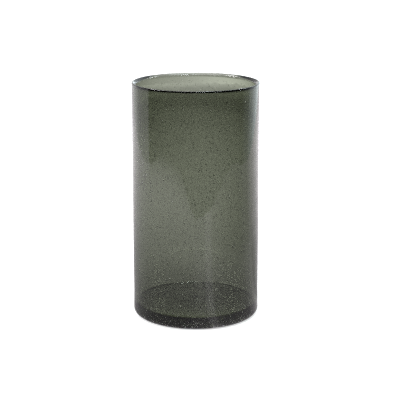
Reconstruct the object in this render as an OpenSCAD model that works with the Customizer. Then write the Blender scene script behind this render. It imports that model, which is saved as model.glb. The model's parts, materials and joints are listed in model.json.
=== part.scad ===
// Mouth-blown cylinder vase in seeded glass.
// Origin on the vase's axis at the plane it stands on, +Z up and out of the mouth.

/* [Overall] */
// Height from the table to the top of the rim
vase_h = 280; // [120:1:400]
// Outside diameter of the glass
vase_d = 150; // [100:1:220]

/* [Glass] */
// Thickness of the blown wall
wall_t = 4; // [2:0.1:6]
// Thickness of the floor, from the table to the inside
floor_t = 14; // [12:0.5:25]

/* [Rim] */
// Height of the band at the mouth that is worked by hand
rim_h = 8; // [7:0.5:20]
// Height and width of the slope inside the mouth, no wider than the wall leaves room for
rim_slope = 2.6; // [1:0.1:4]
// Radius of the outer edge of the mouth
rim_round_r = 1; // [0.5:0.1:1.5]

/* [Base] */
// Radius of the heel, where the outside turns under
heel_r = 7; // [3:0.5:9]
// Radius inside, where the wall runs into the floor
floor_fillet_r = 3; // [2:0.5:12]
// Width of the flat ring that the vase stands on
foot_ring_w = 9; // [4:0.5:15]
// Rise of the hollow inside the foot ring
kick_up = 1.2; // [0.4:0.1:2.5]

/* [Hidden] */

$fn = 192;
outer_r = vase_d / 2;
inner_r = outer_r - wall_t;
// The three regions are one piece of glass, so they meet face to face with no clearance.
rim_z = vase_h - rim_h;
slope = min(rim_slope, wall_t - rim_round_r);
// Cuts run on this far past the glass
past = 1;
// The wall's foot reaches this far below the floor, so that its fillet has no feather edge.
foot_step = 2;
foot_z = floor_t - foot_step;
fillet_toe_r = inner_r - floor_fillet_r;
// Radius where the foot ring ends and the hollow under the base begins
hollow_r = outer_r - heel_r - foot_ring_w;
// Sphere that the hollow is a shallow cap of
hollow_sphere_r = (hollow_r * hollow_r + kick_up * kick_up) / (2 * kick_up);
hollow_steps = 12;
glass = [0.45, 0.47, 0.41, 0.55];

// Height of the hollow's roof at a radius
function hollow_z(r) =
    sqrt(hollow_sphere_r * hollow_sphere_r - r * r) - (hollow_sphere_r - kick_up);

// Mouth: a short straight band with a rounded outer edge and a slope inside
module rim_profile() {
    difference() {
        union() {
            translate([inner_r, rim_z])
                square([wall_t, rim_h - rim_round_r]);
            translate([inner_r, rim_z])
                square([wall_t - rim_round_r, rim_h]);
            translate([outer_r - rim_round_r, vase_h - rim_round_r])
                circle(r = rim_round_r);
        }
        polygon([
            [inner_r - past, vase_h - slope - past],
            [inner_r + slope + past, vase_h + past],
            [inner_r - past, vase_h + past]
        ]);
    }
}

// Straight blown side and the fillet where it runs into the floor
module wall_profile() {
    translate([inner_r, foot_z])
        square([wall_t, rim_z - foot_z]);
    difference() {
        translate([fillet_toe_r, foot_z])
            square([floor_fillet_r, foot_step + floor_fillet_r]);
        translate([fillet_toe_r, floor_t + floor_fillet_r])
            circle(r = floor_fillet_r);
    }
}

// Hollow under the base, as a cap in a dozen straight steps
module hollow_profile() {
    polygon([
        [0, -past],
        [hollow_r, -past],
        for (i = [0 : hollow_steps]) let (r = hollow_r * (1 - i / hollow_steps)) [r, hollow_z(r)]
    ]);
}

// Quarter round where the outside turns under
module heel_profile() {
    translate([outer_r - heel_r, heel_r])
        intersection() {
            circle(r = heel_r);
            translate([0, -heel_r])
                square(heel_r);
        }
}

// Solid base with a rounded heel and the middle of the floor on top
module base_profile() {
    difference() {
        union() {
            translate([0, heel_r])
                square([outer_r, foot_z - heel_r]);
            square([outer_r - heel_r, heel_r]);
            heel_profile();
            square([fillet_toe_r, floor_t]);
        }
        hollow_profile();
    }
}

module rim() {
    color(glass)
        rotate_extrude()
            rim_profile();
}

module wall() {
    color(glass)
        rotate_extrude()
            wall_profile();
}

module base() {
    color(glass)
        rotate_extrude()
            base_profile();
}

rim();
wall();
base();
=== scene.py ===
# A mouth-blown cylinder vase of seeded, olive grey glass, standing on a pale studio table.
import itertools
import json
import math
import random

import bmesh
import bpy
from mathutils import Matrix, Vector, noise


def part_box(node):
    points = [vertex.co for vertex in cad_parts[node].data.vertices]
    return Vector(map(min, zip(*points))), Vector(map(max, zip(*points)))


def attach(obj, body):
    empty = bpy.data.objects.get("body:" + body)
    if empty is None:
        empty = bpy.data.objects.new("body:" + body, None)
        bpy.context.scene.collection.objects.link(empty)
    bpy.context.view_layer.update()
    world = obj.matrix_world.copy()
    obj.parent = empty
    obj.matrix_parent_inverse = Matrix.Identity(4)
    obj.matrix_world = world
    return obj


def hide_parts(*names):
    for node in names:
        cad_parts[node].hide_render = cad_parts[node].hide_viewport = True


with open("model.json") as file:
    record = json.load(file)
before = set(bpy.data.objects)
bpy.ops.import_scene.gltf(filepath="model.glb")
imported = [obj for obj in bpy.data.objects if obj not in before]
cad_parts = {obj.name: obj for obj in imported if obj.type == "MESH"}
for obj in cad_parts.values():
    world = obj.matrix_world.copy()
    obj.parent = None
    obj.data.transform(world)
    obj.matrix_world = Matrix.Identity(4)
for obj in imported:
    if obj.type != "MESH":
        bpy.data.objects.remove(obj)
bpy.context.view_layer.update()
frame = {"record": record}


def mm(value):
    return value / 1000


def hexToLinear(code):
    # sRGB hex to the linear values that the shaders use
    channels = [int(code[i:i + 2], 16) / 255 for i in (0, 2, 4)]
    return [c / 12.92 if c <= 0.04045 else ((c + 0.055) / 1.055) ** 2.4 for c in channels]


def addNode(tree, kind, settings=None, links=None):
    # settings go on the node or its inputs, links are input: node, or input: (node, output)
    node = tree.nodes.new(kind)
    for name, value in (settings or {}).items():
        if isinstance(name, int) or name in node.inputs:
            node.inputs[name].default_value = value
        else:
            setattr(node, name, value)
    for name, source in (links or {}).items():
        source, output = source if isinstance(source, tuple) else (source, 0)
        tree.links.new(source.outputs[output], node.inputs[name])
    return node


# sizes that the CAD model holds
insideMount = next(m for m in frame["record"]["mounts"] if m["name"] == "inside")
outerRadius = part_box("wall")[1].x
innerRadius = mm(insideMount["dims"]["r_mm"])
wallThickness = outerRadius - innerRadius
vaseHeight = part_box("rim")[1].z
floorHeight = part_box("base")[1].z


camera = {
    "distance": 1.475,  # from the vase's axis, along the floor
    "height": 0.505,
    "pitch": 13.98,  # degrees below level
    "turn": -0.198,  # degrees, so that the vase stands a little left of the middle
    "lens": 114.8,  # millimetres, as is the sensor
    "sensor": 36.0,
    "sees": 50.0,  # this far
}


def makeCamera():
    data = bpy.data.cameras.new("camera")
    data.lens = camera["lens"]
    data.sensor_width = camera["sensor"]
    data.clip_end = camera["sees"]
    obj = bpy.data.objects.new("camera", data)
    obj.location = (0, -camera["distance"], camera["height"])
    # turned up by 90 degrees it looks level
    obj.rotation_euler = (math.radians(90 - camera["pitch"]), 0, math.radians(camera["turn"]))
    bpy.context.collection.objects.link(obj)
    bpy.context.scene.camera = obj


makeCamera()
print("camera placed")


glassLook = {
    "ior": 1.5,
    "tint": "79835A",  # what a density of one leaves of white light
    "density": 300.0,  # per metre
    "rippleLength": mm(11),  # faint ripple of the skin
    "rippleHeight": mm(0.03),
    "wearHeight": mm(0.5),  # the foot is worn dull up to here
    "wearGrain": mm(1.5),
    "wear": 0.45,  # roughness of a worn spot
    "bubbleSkin": 0.1,  # roughness inside a bubble
}


def clearMaterial(name):
    # glass or air, seen from either side of the skin between them
    mat = bpy.data.materials.new(name)
    mat.use_nodes = True
    shader = mat.node_tree.nodes["Principled BSDF"]
    shader.inputs["Base Color"].default_value = (1, 1, 1, 1)
    shader.inputs["Transmission Weight"].default_value = 1.0
    shader.inputs["IOR"].default_value = glassLook["ior"]
    return mat, shader


def seededGlass():
    # mouth-blown soda-lime glass, tinted olive grey in the melt: clear and wet looking, faintly rippled,
    # dulled by fine scratches where it stands
    mat, shader = clearMaterial("seeded glass, mouth-blown")
    tree = mat.node_tree
    place = (addNode(tree, "ShaderNodeTexCoord"), "Object")
    ripple = addNode(tree, "ShaderNodeTexNoise", {
        "Scale": 1 / glassLook["rippleLength"],
        "Detail": 1.0,
    }, {"Vector": place})
    bump = addNode(tree, "ShaderNodeBump", {
        "Strength": 1.0,
        "Distance": glassLook["rippleHeight"],
    }, {"Height": ripple})
    tree.links.new(bump.outputs[0], shader.inputs["Normal"])
    height = (addNode(tree, "ShaderNodeSeparateXYZ", links={0: place}), "Z")
    foot = addNode(tree, "ShaderNodeMapRange", {
        "From Min": 0.0,
        "From Max": glassLook["wearHeight"],
        "To Min": glassLook["wear"],
        "To Max": 0.0,
    }, {"Value": height})
    scratches = addNode(tree, "ShaderNodeTexNoise", {
        "Scale": 1 / glassLook["wearGrain"],
        "Detail": 3.0,
    }, {"Vector": place})
    worn = addNode(tree, "ShaderNodeMath", {"operation": "MULTIPLY"}, {0: foot, 1: scratches})
    tree.links.new(worn.outputs[0], shader.inputs["Roughness"])
    volume = addNode(tree, "ShaderNodeVolumeAbsorption", {
        "Color": (*hexToLinear(glassLook["tint"]), 1),
        "Density": glassLook["density"],
    })
    output = tree.nodes["Material Output"]
    tree.links.new(volume.outputs["Volume"], output.inputs["Volume"])
    return mat


def trappedAir():
    # the skin of a bubble inside the glass
    mat, shader = clearMaterial("trapped air, blown bubble")
    shader.inputs["Roughness"].default_value = glassLook["bubbleSkin"]
    return mat


# the glass body: one closed skin from the middle of the underside up over the rim and down to the floor
body = {
    "around": 120,  # steps of the turn
    "heelRadius": mm(7),
    "filletRadius": mm(3),
    "footRing": mm(9),
    "kickUp": mm(1.2),
    "rimBevel": mm(2.6),  # the slope inside the rim
    "rimRound": mm(1.0),
    "nearRing": mm(0.8),  # a ring of points this close to each rounding
    "wallRings": 36,
    "floorRings": 10,
    "mergeGap": mm(0.06),  # points closer than this become one
    "slack": mm(0.5),  # for telling which part of the skin a point is on
    "evenFoot": mm(30),  # the unevenness of the wall grows in over this height
    "topExtra": mm(1.5),  # the wall is this much thicker just under the rim
    "topFrom": mm(100),  # from this height up
    "topCurve": 2.2,  # slowly at first
    "sideExtra": mm(0.4),  # thicker on one side, thinner on the other
    "sideFade": (mm(180), mm(60)),  # up to this height, and gone over this much more
    "waveHeight": mm(0.35),  # slow unevenness of the blown wall
    "waveLength": mm(55),
    "waveStretch": 1.5,  # times longer up the vase than around it
    "waveContrast": 1.4,
    "waveCalm": (mm(225), mm(40), 0.7),  # from this height, over this much, less by this share
    "floorRise": mm(0.8),  # in the middle
    "floorWave": mm(0.4),
    "insideNoise": 7.3,  # where in the noise each skin starts
    "outsideNoise": 2.1,
    "floorNoise": 5.0,
}


def smoothStep(t):
    t = min(max(t, 0), 1)
    return t * t * (3 - 2 * t)


def unevenness(x, y, z, start):
    # smooth random value from 0 to 1 over the skin
    length = body["waveLength"]
    spot = Vector((x / length, y / length, z / length / body["waveStretch"] + start))
    return 0.5 + 0.5 * max(-1, min(1, body["waveContrast"] * noise.noise(spot)))


def blowGlass(bm):
    # turned glass is even, blown glass is not: the outer skin dips and the inner skin swells
    slack = body["slack"]
    top = vaseHeight - body["rimBevel"]
    sideEnd, sideOver = body["sideFade"]
    calmFrom, calmOver, calmShare = body["waveCalm"]
    for v in bm.verts:
        x, y, z = v.co
        radius = math.hypot(x, y)
        if radius < slack:
            continue
        # 0 on the outer skin and 1 on the inner
        inner = min(max((outerRadius - radius) / wallThickness, 0), 1)
        foot = floorHeight if inner > 0.99 else 0
        upright = smoothStep((z - foot) / body["evenFoot"])
        rise = max(0, min(1, (z - body["topFrom"]) / (top - body["topFrom"])))
        swell = body["topExtra"] * rise ** body["topCurve"]
        swell += body["sideExtra"] * x / outerRadius * (1 - smoothStep((z - sideEnd) / sideOver))
        wave = body["waveHeight"] * (1 - calmShare * smoothStep((z - calmFrom) / calmOver))
        swell += wave * (unevenness(x, y, z, body["insideNoise"]) - 0.5)
        dip = wave * unevenness(x, y, z, body["outsideNoise"])
        if radius > innerRadius - slack and z > slack:
            change = (inner * swell + (1 - inner) * dip) * upright
            v.co = Vector((x * (1 - change / radius), y * (1 - change / radius), z))
        elif z > floorHeight - slack:
            # the floor rises a little in the middle and is not quite flat
            bulge = body["floorRise"] * (1 - smoothStep(radius / innerRadius))
            v.co.z += bulge + body["floorWave"] * (unevenness(x, y, z, body["floorNoise"]) - 0.5)


def sectionCorners(hollowRadius):
    # half section from the middle of the underside, round the heel, up, over the rim and down inside,
    # with a point close to each rounding so that the shading of the straight parts stays true
    heel, fillet, near = body["heelRadius"], body["filletRadius"], body["nearRing"]
    bevel, edge = body["rimBevel"], body["rimRound"]
    return [
        # radius, height, rounding and its segments
        (0, 0, 0, 0),
        (hollowRadius, 0, 0, 0),
        (outerRadius, 0, heel, 8),
        (outerRadius, heel + near, 0, 0),
        (outerRadius, vaseHeight - edge - near, 0, 0),
        (outerRadius, vaseHeight, edge, 5),
        (innerRadius + bevel, vaseHeight, edge / 3, 3),
        (innerRadius, vaseHeight - bevel, edge, 3),
        (innerRadius, vaseHeight - bevel - edge - near, 0, 0),
        (innerRadius, floorHeight + fillet + near, 0, 0),
        (innerRadius, floorHeight, fillet, 6),
        (innerRadius - fillet - near, floorHeight, 0, 0),
        (0, floorHeight, 0, 0),
    ]


def makeBody():
    hollowRadius = outerRadius - body["heelRadius"] - body["footRing"]
    corners = sectionCorners(hollowRadius)
    bm = bmesh.new()
    verts = [bm.verts.new((x, 0, z)) for x, z, rounding, segments in corners]
    for pair in zip(verts, verts[1:]):
        bm.edges.new(pair)
    for vert, (x, z, rounding, segments) in zip(verts, corners):
        if segments:
            bmesh.ops.bevel(bm, geom=[vert], offset=rounding, offset_type="OFFSET", affect="VERTICES",
                            segments=segments, profile=0.5, material=-1)
    wallEdges = [e for e in bm.edges if e.calc_length() > vaseHeight / 2]
    flatEdges = [e for e in bm.edges if outerRadius / 2 < e.calc_length() < vaseHeight / 2]
    bmesh.ops.subdivide_edges(bm, edges=wallEdges, cuts=body["wallRings"])
    bmesh.ops.subdivide_edges(bm, edges=flatEdges, cuts=body["floorRings"])
    # the hollow under the base is a shallow cap inside the foot ring
    capRadius = (hollowRadius ** 2 + body["kickUp"] ** 2) / (2 * body["kickUp"])
    for v in bm.verts:
        if v.co.z < body["mergeGap"] and v.co.x < hollowRadius:
            v.co.z = math.sqrt(capRadius ** 2 - v.co.x ** 2) - (capRadius - body["kickUp"])
    bmesh.ops.spin(bm, geom=bm.verts[:] + bm.edges[:], cent=(0, 0, 0), axis=(0, 0, 1), dvec=(0, 0, 0),
                   angle=math.tau, steps=body["around"], use_merge=True, use_duplicate=False)
    bmesh.ops.remove_doubles(bm, verts=bm.verts, dist=body["mergeGap"])
    blowGlass(bm)
    bmesh.ops.recalc_face_normals(bm, faces=bm.faces)
    return bm


# seeds are the air bubbles in the melt, round in the base and drawn long in the wall
seeds = {
    # how many are tried, half width in millimetres, times longer than wide, crowding down or outwards
    "wallLong": (720, (0.5, 0.85), (1.8, 3.0), 1.35),
    "wallMiddling": (2300, (0.38, 0.52), (1.0, 1.9), 1.3),
    "wallFine": (4600, (0.2, 0.38), (1.0, 1.9), 1.25),
    "wallTop": (220, (0.45, 0.68), (1.0, 1.5), 1.0),
    "baseLarge": (1700, (0.55, 0.95), (0.8, 1.2), 2.0),
    "baseMiddling": (1600, (0.4, 0.6), (0.8, 1.2), 2.0),
    "baseFine": (250, (0.25, 0.42), (0.9, 1.2), 1.5),
    "streakOfLong": (80, (0.85, 1.2), (1.8, 2.7)),  # a loose bunch of long ones on one side
    "streakTurn": -149.0,  # degrees
    "streakWidth": 6.0,
    "streakHeights": (mm(160), mm(240)),
    "lean": 14.0,  # degrees either way
    "flatness": 0.8,  # through the wall they are this much thinner
    "rimGap": mm(9),  # none in the rim itself
    "skin": mm(0.5),  # glass left between a seed and the surface
    "baseSkin": mm(0.2),
    "baseShare": 0.97,  # of the base's seeds, this share lies just behind its outside
    "baseDepth": mm(3.5),  # within this much of it
    "floorDepth": mm(4),  # the rest lie within this much of the floor's face
    "topFrom": mm(215),  # the top seeds start here
    "facets": ((4, 2), (6, 4), (8, 4)),  # around and up, for fine, middling and large ones
    "cell": mm(4),  # of the grid that keeps them apart
    "draw": 7,  # another number gives another scatter
}


def seedTemplate(around, rings):
    bm = bmesh.new()
    bmesh.ops.create_uvsphere(bm, u_segments=around, v_segments=rings, radius=1)
    bmesh.ops.triangulate(bm, faces=bm.faces)
    bmesh.ops.reverse_faces(bm, faces=bm.faces)  # a cavity faces into its air
    for face in bm.faces:
        face.material_index = 1
    mesh = bpy.data.meshes.new("seed")
    bm.to_mesh(mesh)
    bm.free()
    return mesh


class SeedBed:
    # keeps the seeds apart, with a coarse grid of what is already there
    def __init__(self):
        self.taken = {}

    def claims(self, centre, reach):
        home = tuple(int(c // seeds["cell"]) for c in centre)
        for step in itertools.product((-1, 0, 1), repeat=3):
            near = tuple(h + s for h, s in zip(home, step))
            for other, otherReach in self.taken.get(near, ()):
                if (other - centre).length < reach + otherReach:
                    return False
        self.taken.setdefault(home, []).append((centre, reach))
        return True


def addSeed(bm, bed, mesh, radius, turn, height, half, stretch, lean):
    centre = Vector((radius * math.cos(turn), radius * math.sin(turn), height))
    if not bed.claims(centre, half * stretch):
        return
    turned = Matrix.Rotation(turn, 4, "Z") @ Matrix.Rotation(lean, 4, "X")
    sized = Matrix.Diagonal((half * seeds["flatness"], half, half * stretch, 1))
    place = Matrix.Translation(centre) @ turned @ sized
    mesh.transform(place)
    bm.from_mesh(mesh)
    mesh.transform(place.inverted())


def addWallSeeds(bm, bed, rng, mesh, count, halves, stretches, crowding, lowest=floorHeight):
    for _ in range(count):
        height = lowest + (vaseHeight - lowest - seeds["rimGap"]) * rng.random() ** crowding
        half, stretch = mm(rng.uniform(*halves)), rng.uniform(*stretches)
        clear = half * seeds["flatness"] + seeds["skin"]
        radius = rng.uniform(innerRadius + clear, outerRadius - clear)
        lean = math.radians(rng.uniform(-seeds["lean"], seeds["lean"]))
        addSeed(bm, bed, mesh, radius, rng.uniform(0, math.tau), height, half, stretch, lean)


def addStreak(bm, bed, rng, mesh, count, halves, stretches):
    for _ in range(count):
        half, stretch = mm(rng.uniform(*halves)), rng.uniform(*stretches)
        turn = math.radians(rng.gauss(seeds["streakTurn"], seeds["streakWidth"]))
        radius = outerRadius - half * seeds["flatness"] - seeds["skin"]
        lean = math.radians(rng.uniform(0, seeds["lean"]))
        height = rng.uniform(*seeds["streakHeights"])
        addSeed(bm, bed, mesh, radius, turn, height, half, stretch, lean)


def addBaseSeeds(bm, bed, rng, mesh, count, halves, stretches, crowding):
    # most of them just behind the outside of the base, the rest under the floor's face
    heel = body["heelRadius"]
    for _ in range(count):
        half, stretch = mm(rng.uniform(*halves)), rng.uniform(*stretches)
        clear = half * stretch + seeds["baseSkin"]
        highest = floorHeight - body["floorWave"] / 2 - clear
        height = rng.uniform(body["kickUp"] + clear, highest)
        heelGap = heel - math.sqrt(heel ** 2 - max(0, heel - height) ** 2)
        reach = outerRadius - heelGap - clear
        if rng.random() < seeds["baseShare"]:
            radius = reach - seeds["baseDepth"] * rng.random() ** crowding
        else:
            radius = reach * math.sqrt(rng.random())
            height = highest - seeds["floorDepth"] * rng.random()
        addSeed(bm, bed, mesh, radius, rng.uniform(0, math.tau), height, half, stretch, 0)


def addSeeds(bm):
    rng = random.Random(seeds["draw"])
    bed = SeedBed()
    fine, middling, large = [seedTemplate(*facets) for facets in seeds["facets"]]
    addStreak(bm, bed, rng, large, *seeds["streakOfLong"])
    addWallSeeds(bm, bed, rng, large, *seeds["wallLong"])
    addBaseSeeds(bm, bed, rng, middling, *seeds["baseLarge"])
    addWallSeeds(bm, bed, rng, fine, *seeds["wallTop"], seeds["topFrom"])
    addWallSeeds(bm, bed, rng, fine, *seeds["wallMiddling"])
    addWallSeeds(bm, bed, rng, fine, *seeds["wallFine"])
    addBaseSeeds(bm, bed, rng, fine, *seeds["baseMiddling"])
    addBaseSeeds(bm, bed, rng, fine, *seeds["baseFine"])
    for mesh in (fine, middling, large):
        bpy.data.meshes.remove(mesh)


def makeVase():
    bm = makeBody()
    print("body faces", len(bm.faces))
    addSeeds(bm)
    mesh = bpy.data.meshes.new("vase_glass")
    bm.to_mesh(mesh)
    bm.free()
    mesh.polygons.foreach_set("use_smooth", [True] * len(mesh.polygons))
    mesh.materials.append(seededGlass())
    mesh.materials.append(trappedAir())
    obj = bpy.data.objects.new("vase_glass", mesh)
    bpy.context.collection.objects.link(obj)
    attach(obj, "root")
    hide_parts("rim", "wall", "base")
    tris = sum(len(p.vertices) - 2 for p in mesh.polygons)
    print("vase made,", tris, "triangles")


makeVase()


studio = {
    # the table, in metres
    "tableLevel": -mm(0.2),
    "wholeTable": (6.0, -4.0, 8.0),  # half width, near edge and far edge as the camera sees it
    "frontEdge": 0.57,  # from the vase's axis to the table's near edge, on the right
    "leftFrontEdge": 0.95,
    "sideEdge": 0.94,
    "backEdge": 1.62,
    "cornerRadius": 0.4,
    "cornerSteps": 8,
    "daylight": 1.12,  # what lights the table, so that it comes out white
    "laminate": "F3F3F3",
    "laminateRoughness": 0.6,
    "paintedGlow": 0.35,  # a faint painted glow of the table, which washes out most of the contact shadow
    "rampReach": 2.0,  # brightness by distance is known up to here
    "middle": 0.05,  # half the soft step from left to right
    # a painted pool of light on the left of the table, round: its middle, its radius and half its soft
    # edge
    "poolCentre": (-0.3, -0.1, 0),
    "poolRadius": 0.61,
    "poolSoft": 0.17,
    "poolOutside": 0.03,  # brightness past its edge
    "poolBehind": (-0.12, 0.0),  # it has no edge behind here
    # what the glass reflects, by the angle away from the camera's side: an unlit room, then bright walls
    "leftRoom": {0: 0.03, 91: 0.03, 95: 0.95, 118: 1.0, 138: 1.4, 180: 1.4},
    "rightRoom": {0: 0.03, 88: 0.03, 103: 0.35, 119: 1.1, 128: 1.7, 142: 2.3, 180: 2.3},
    "rightTint": "F2FCFF",
    "reflectedTint": "FFFBFF",
    "throughTint": "FFFFFF",
    "wallEnd": (3.0, 14.0),  # degrees above level where the bright walls fade out
    "aboveWalls": 0.4,
    "overhead": (60.0, 72.0, 2.4),  # a large lamp above: from and fully at these elevations, brightness
    "ceilingDark": 0.04,
    "ceilingEdge": (20.0, 30.0),  # degrees above level
    "zenith": 6.0,  # the opening in it
    "zenithEdge": (56.0, 66.0),
    "backdrop": (1.1, 1.75),  # behind the table, left and right
    "backdropMiddle": (-0.03, 0.05),
    "backdropTop": (-3.0, 0.0),  # degrees above level where it fades out
    # distance from the vase in metres: painted brightness of the table, painted shade close to the vase
    # and painted light further out
    "reflected": {0.08: 0.38, 0.22: 0.42, 0.30: 0.48, 0.42: 0.62, 0.55: 0.76, 0.71: 0.92, 0.90: 1.11,
                  1.10: 1.22, 1.60: 1.0},
    # painted light added on the right
    "nearRight": {0.08: 0.42, 0.30: 0.40, 0.36: 0.29, 0.42: 0.16, 0.55: 0.05, 0.65: 0.0},
    "paintedLightSeenThrough": {0.075: 0.5, 0.12: 0.45, 0.26: 0.74, 0.50: 0.91, 0.90: 0.99, 1.15: 0.97, 1.50: 0.86,
                    1.72: 0.68, 1.80: 0.78, 1.92: 1.3},
    "farEdge": 1.92,  # where the table ends as it shows through the glass
    "paintedFrontLight": {0.06: 5.0, 0.08: 4.0, 0.18: 0.0},  # painted light on the table close in front, for the seeds
    "glowGrows": (-0.02, -0.06),  # towards the camera, between these
    # degrees away from the camera's side: share of that painted brightness
    "paintedLeftShare": {0: 1.15, 85: 1.15, 100: 1.25, 130: 1.35, 180: 1.35},
    "paintedRightShare": {0: 1.0, 30: 0.62, 50: 0.33, 75: 0.29, 100: 0.6, 115: 1.15, 130: 1.45, 180: 1.55},
    "paintedNearShare": {0: 1.0, 104: 1.0, 118: 0.0, 180: 0.0},
    # the lamps beside the camera, which only the seeds catch
    "paintedNearLamps": {0: 2.6, 100: 2.4, 130: 1.0, 180: 1.0},  # their light painted on the table
    "leftLamps": {0: 2.6, 60: 4.6, 115: 4.6, 150: 1.8, 170: 1.0, 180: 1.0},  # beside it
    "rightLamps": {0: 2.6, 30: 2.0, 115: 2.0, 150: 1.3, 170: 1.0, 180: 1.0},
    "streak": (21.0, 8.0, 0.55),  # a soft strip of painted light: azimuth, half width in degrees, brightness
    # azimuth to the right of the camera, elevation, half angle and soft edge in degrees, brightness
    "softboxes": [(-120, 52, 8, 4, 9.0), (120, 42, 8, 4, 9.0), (45, 77, 9, 4, 9.0)],
    "sideLamps": [(-85, 34, 22, 4, 5.0), (85, 34, 22, 4, 5.0)],
}


def brightnessRamp(tree, source, stops, reach):
    # a colour ramp from a dictionary of distance or angle: brightness
    ramp = addNode(tree, "ShaderNodeValToRGB")
    elements = ramp.color_ramp.elements
    ramp.color_ramp.interpolation = "EASE"
    while len(elements) < len(stops):
        elements.new(0.5)
    peak = max(stops.values())
    for element, (distance, value) in zip(elements, sorted(stops.items())):
        element.position = distance / reach
        element.color = (value / peak, value / peak, value / peak, 1)
    scaled = addNode(tree, "ShaderNodeMath", {"operation": "DIVIDE", 1: reach}, {0: source})
    tree.links.new(scaled.outputs[0], ramp.inputs["Fac"])
    return addNode(tree, "ShaderNodeMath", {"operation": "MULTIPLY", 1: peak}, {0: (ramp, "Color")})


def byDistance(tree, away, stops):
    return brightnessRamp(tree, away, stops, studio["rampReach"])


def angleFromCameraSide(tree, vector):
    # how far a direction is from the camera's side of the vase, in degrees about the vertical
    parts = addNode(tree, "ShaderNodeSeparateXYZ", links={0: vector})
    sideways = addNode(tree, "ShaderNodeMath", {"operation": "ABSOLUTE"}, {0: (parts, "X")})
    forwards = addNode(tree, "ShaderNodeMath", {"operation": "MULTIPLY", 1: -1.0}, {0: (parts, "Y")})
    angle = addNode(tree, "ShaderNodeMath", {"operation": "ARCTAN2"}, {0: sideways, 1: forwards})
    return addNode(tree, "ShaderNodeMath", {"operation": "DEGREES"}, {0: angle})


def onTheRight(tree, vector):
    parts = addNode(tree, "ShaderNodeSeparateXYZ", links={0: vector})
    return addNode(tree, "ShaderNodeMapRange", {
        "interpolation_type": "SMOOTHSTEP",
        "From Min": -studio["middle"],
        "From Max": studio["middle"],
    }, {"Value": (parts, "X")})


def byAngle(tree, vector, left, right):
    # brightness by degrees away from the camera's side, one ramp for each side of the vase
    angle = angleFromCameraSide(tree, vector)
    return addNode(tree, "ShaderNodeMix", {"data_type": "FLOAT"}, {
        "Factor": onTheRight(tree, vector),
        "A": brightnessRamp(tree, angle, left, 180),
        "B": brightnessRamp(tree, angle, right, 180),
    })


def shareOf(tree, light, share):
    # a light times the share of it that is left
    return addNode(tree, "ShaderNodeMath", {"operation": "MULTIPLY"}, {0: light, 1: share})


def paintedPool(tree, vector, onRight):
    # the soft round edge of the painted pool of light on the near left of the table, 1 everywhere else
    away = addNode(tree, "ShaderNodeVectorMath", {
        "operation": "DISTANCE",
        1: studio["poolCentre"],
    }, {0: vector})
    inside = addNode(tree, "ShaderNodeMapRange", {
        "interpolation_type": "SMOOTHSTEP",
        "From Min": studio["poolRadius"] - studio["poolSoft"],
        "From Max": studio["poolRadius"] + studio["poolSoft"],
        "To Min": 1.0,
        "To Max": studio["poolOutside"],
    }, {"Value": (away, "Value")})
    parts = addNode(tree, "ShaderNodeSeparateXYZ", links={0: vector})
    behind = addNode(tree, "ShaderNodeMapRange", {
        "From Min": studio["poolBehind"][0],
        "From Max": studio["poolBehind"][1],
    }, {"Value": (parts, "Y")})
    elsewhere = addNode(tree, "ShaderNodeMath", {"operation": "MAXIMUM"}, {0: behind, 1: onRight})
    return addNode(tree, "ShaderNodeMath", {"operation": "MAXIMUM"}, {0: inside, 1: elsewhere})


def facingTo(tree, vector, azimuth, elevation):
    # the cosine of the angle to one direction, which is given to the right of the camera and above level
    a, e = math.radians(azimuth), math.radians(elevation)
    towards = (math.sin(a) * math.cos(e), -math.cos(a) * math.cos(e), math.sin(e))
    facing = addNode(tree, "ShaderNodeVectorMath", {"operation": "DOT_PRODUCT", 1: towards}, {0: vector})
    return facing, "Value"


def paintedLightStrip(tree, vector):
    # a soft strip of painted light across the table, out from under the vase
    azimuth, halfWidth, brightness = studio["streak"]
    flat = addNode(tree, "ShaderNodeVectorMath", {"operation": "NORMALIZE"}, {0: vector})
    return addNode(tree, "ShaderNodeMapRange", {
        "interpolation_type": "SMOOTHSTEP",
        "From Min": math.cos(math.radians(halfWidth)),
        "From Max": 1.0,
        "To Min": 0.0,
        "To Max": brightness,
    }, {"Value": facingTo(tree, flat, azimuth, 0)})


def glowWithPaintedLight(name):
    # a surface that shines by itself with painted light and shade, with the nodes that find its
    # brightness still to come
    mat = bpy.data.materials.new(name)
    mat.use_nodes = True
    tree = mat.node_tree
    tree.nodes.remove(tree.nodes["Principled BSDF"])
    place = addNode(tree, "ShaderNodeTexCoord")
    vector = (place, "Object")
    away = addNode(tree, "ShaderNodeVectorMath", {"operation": "LENGTH"}, {0: vector})
    return mat, tree, vector, (away, "Value")


# the painted light and shade go out as the surface's own glow
def shine(tree, value, colour):
    linear = (*hexToLinear(colour), 1)
    light = addNode(tree, "ShaderNodeEmission", {"Color": linear}, {"Strength": value})
    tree.links.new(light.outputs[0], tree.nodes["Material Output"].inputs["Surface"])


# painted light and shade: this table top glows by itself, darker close to the vase, lit unevenly by
# angle
def paintedReflectedTop():
    mat, tree, vector, away = glowWithPaintedLight("table top, as the glass reflects it")
    onRight = onTheRight(tree, vector)
    share = byAngle(tree, vector, studio["paintedLeftShare"], studio["paintedRightShare"])
    value = shareOf(tree, byDistance(tree, away, studio["reflected"]), share)
    value = shareOf(tree, value, paintedPool(tree, vector, onRight))
    paintedNearShare = byAngle(tree, vector, studio["paintedNearShare"], studio["paintedNearShare"])
    near = shareOf(tree, byDistance(tree, away, studio["nearRight"]), paintedNearShare)
    value = addUp(tree, [value, shareOf(tree, near, onRight), paintedLightStrip(tree, vector)])
    shine(tree, value, studio["reflectedTint"])
    return mat


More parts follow.
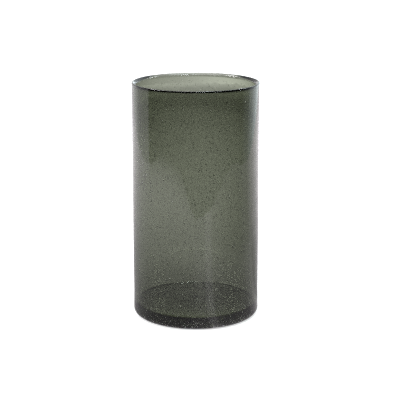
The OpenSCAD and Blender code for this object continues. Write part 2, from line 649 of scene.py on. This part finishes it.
# painted light and shade: this table top glows by itself, darker close to the foot, with painted light
# from the lamps and close in front
def paintedTopThroughGlass():
    mat, tree, vector, away = glowWithPaintedLight("table top, as it shows through the glass")
    value = byDistance(tree, away, studio["paintedLightSeenThrough"])
    share = byAngle(tree, vector, studio["paintedNearLamps"], studio["paintedNearLamps"])
    parts = addNode(tree, "ShaderNodeSeparateXYZ", links={0: vector})
    front = addNode(tree, "ShaderNodeMapRange", {
        "From Min": studio["glowGrows"][0],
        "From Max": studio["glowGrows"][1],
    }, {"Value": (parts, "Y")})
    glow = byDistance(tree, away, studio["paintedFrontLight"])
    value = addUp(tree, [shareOf(tree, value, share), shareOf(tree, glow, front)])
    shine(tree, value, studio["throughTint"])
    return mat


def whiteLaminate():
    # pressed melamine board with a matt face, which glows faintly with painted light
    mat = bpy.data.materials.new("table top, white laminate with a painted glow")
    mat.use_nodes = True
    shader = mat.node_tree.nodes["Principled BSDF"]
    shader.inputs["Base Color"].default_value = (*hexToLinear(studio["laminate"]), 1)
    shader.inputs["Roughness"].default_value = studio["laminateRoughness"]
    shader.inputs["Specular IOR Level"].default_value = 0.0
    # painted light: a faint glow that washes out most of the contact shadow
    shader.inputs["Emission Color"].default_value = (1, 1, 1, 1)
    shader.inputs["Emission Strength"].default_value = studio["paintedGlow"]
    return mat


def makeTable(name, outline, rounded, material, sees):
    # a flat top inside an outline, with some of its corners rounded off
    bm = bmesh.new()
    verts = [bm.verts.new((x, y, studio["tableLevel"])) for x, y in outline]
    bm.faces.new(verts)
    bmesh.ops.bevel(bm, geom=[verts[index] for index in rounded], offset=studio["cornerRadius"],
                    offset_type="OFFSET", affect="VERTICES", segments=studio["cornerSteps"], profile=0.5,
                    material=-1)
    mesh = bpy.data.meshes.new(name)
    bm.to_mesh(mesh)
    bm.free()
    mesh.materials.append(material)
    obj = bpy.data.objects.new(name, mesh)
    bpy.context.collection.objects.link(obj)
    for ray in ("camera", "diffuse", "glossy", "transmission"):
        setattr(obj, "visible_" + ray, ray in sees)
    obj.visible_shadow = "camera" in sees


def rectangle(halfWidth, near, far):
    return [(-halfWidth, near), (halfWidth, near), (halfWidth, far), (-halfWidth, far)]


def makeTables():
    # one table top in three guises: as seen, as the glass reflects it and as it shows through the glass;
    # the last two glow with painted light and shade
    side, back, far = studio["sideEdge"], studio["backEdge"], studio["farEdge"]
    near, leftNear = -studio["frontEdge"], -studio["leftFrontEdge"]
    lit = [(-side, leftNear), (near, leftNear), (0, near), (side, near), (side, back), (-side, back)]
    nearRightCorner = 3
    makeTable("table", rectangle(*studio["wholeTable"]), [], whiteLaminate(), ("camera", "diffuse"))
    makeTable("table_reflected_painted_light", lit, [nearRightCorner], paintedReflectedTop(), ("glossy",))
    makeTable("table_through_painted_light", rectangle(far, -far, far), [], paintedTopThroughGlass(), ("transmission",))


def softbox(tree, vector, azimuth, elevation, halfAngle, soft, brightness):
    # a round patch of light in one direction
    return addNode(tree, "ShaderNodeMapRange", {
        "interpolation_type": "SMOOTHSTEP",
        "From Min": math.cos(math.radians(halfAngle + soft)),
        "From Max": math.cos(math.radians(halfAngle - soft)),
        "To Min": 0.0,
        "To Max": brightness,
    }, {"Value": facingTo(tree, vector, azimuth, elevation)})


def addUp(tree, lights):
    total = lights[0]
    for light in lights[1:]:
        total = addNode(tree, "ShaderNodeMath", {"operation": "ADD"}, {0: total, 1: light})
    return total


def fading(tree, parts, start, end, below, above):
    # a value that changes between two elevations, in degrees
    return addNode(tree, "ShaderNodeMapRange", {
        "interpolation_type": "SMOOTHSTEP",
        "From Min": math.sin(math.radians(start)),
        "From Max": math.sin(math.radians(end)),
        "To Min": below,
        "To Max": above,
    }, {"Value": (parts, "Z")})


def studioInReflections(tree, vector, parts):
    # an unlit room on the camera's side, bright walls behind, a large lamp above and the softboxes
    room = byAngle(tree, vector, studio["leftRoom"], studio["rightRoom"])
    walls = fading(tree, parts, *studio["wallEnd"], 1.0, studio["aboveWalls"])
    start, full, brightness = studio["overhead"]
    overhead = fading(tree, parts, start, full, 0.0, brightness)
    boxes = [softbox(tree, vector, *box) for box in studio["softboxes"]]
    return addUp(tree, [shareOf(tree, room, walls), overhead, *boxes])


def studioThroughGlass(tree, vector, parts):
    # lit surroundings under a dark ceiling with one opening
    ceiling = fading(tree, parts, *studio["ceilingEdge"], 1.0, studio["ceilingDark"])
    zenith = fading(tree, parts, *studio["zenithEdge"], 0.0, studio["zenith"])
    around = byAngle(tree, vector, studio["leftLamps"], studio["rightLamps"])
    low = fading(tree, parts, *studio["backdropTop"], 1.0, 0.0)
    backdrop = addNode(tree, "ShaderNodeMapRange", {
        "interpolation_type": "SMOOTHSTEP",
        "From Min": studio["backdropMiddle"][0],
        "From Max": studio["backdropMiddle"][1],
        "To Min": studio["backdrop"][0] - 1,  # the surroundings give the other 1
        "To Max": studio["backdrop"][1] - 1,
    }, {"Value": (parts, "X")})
    lamps = [softbox(tree, vector, *lamp) for lamp in studio["sideLamps"]]
    return addUp(tree, [shareOf(tree, ceiling, around), shareOf(tree, backdrop, low), zenith, *lamps])


def makeWorld():
    world = bpy.data.worlds.new("studio")
    bpy.context.scene.world = world
    world.use_nodes = True
    tree = world.node_tree
    background = tree.nodes["Background"]
    path = addNode(tree, "ShaderNodeLightPath")
    vector = (addNode(tree, "ShaderNodeTexCoord"), "Generated")
    parts = addNode(tree, "ShaderNodeSeparateXYZ", links={0: vector})
    glassy = addNode(tree, "ShaderNodeMix", {"data_type": "FLOAT"}, {
        "Factor": (path, "Is Reflection Ray"),
        "A": studioThroughGlass(tree, vector, parts),
        "B": studioInReflections(tree, vector, parts),
    })
    # the table and the empty background are lit evenly
    plain = addNode(tree, "ShaderNodeMath", {"operation": "MAXIMUM"}, {
        0: (path, "Is Camera Ray"),
        1: (path, "Is Diffuse Ray"),
    })
    strength = addNode(tree, "ShaderNodeMix", {
        "data_type": "FLOAT",
        "B": studio["daylight"],
    }, {"Factor": plain, "A": glassy})
    tree.links.new(strength.outputs[0], background.inputs["Strength"])
    tint = shareOf(tree, onTheRight(tree, vector), (path, "Is Reflection Ray"))
    colour = addNode(tree, "ShaderNodeMix", {
        "data_type": "RGBA",
        "A": (1, 1, 1, 1),
        "B": (*hexToLinear(studio["rightTint"]), 1),
    }, {"Factor": tint})
    tree.links.new(colour.outputs["Result"], background.inputs["Color"])


makeTables()
makeWorld()
scene = bpy.context.scene
scene.view_settings.view_transform = "Standard"
scene.cycles.use_denoising = True
scene.cycles.denoising_prefilter = "NONE"  # keeps the finest seeds
scene.cycles.max_bounces = 48
scene.cycles.transmission_bounces = 40
scene.cycles.glossy_bounces = 12
scene.cycles.transparent_max_bounces = 16
print("studio lit")
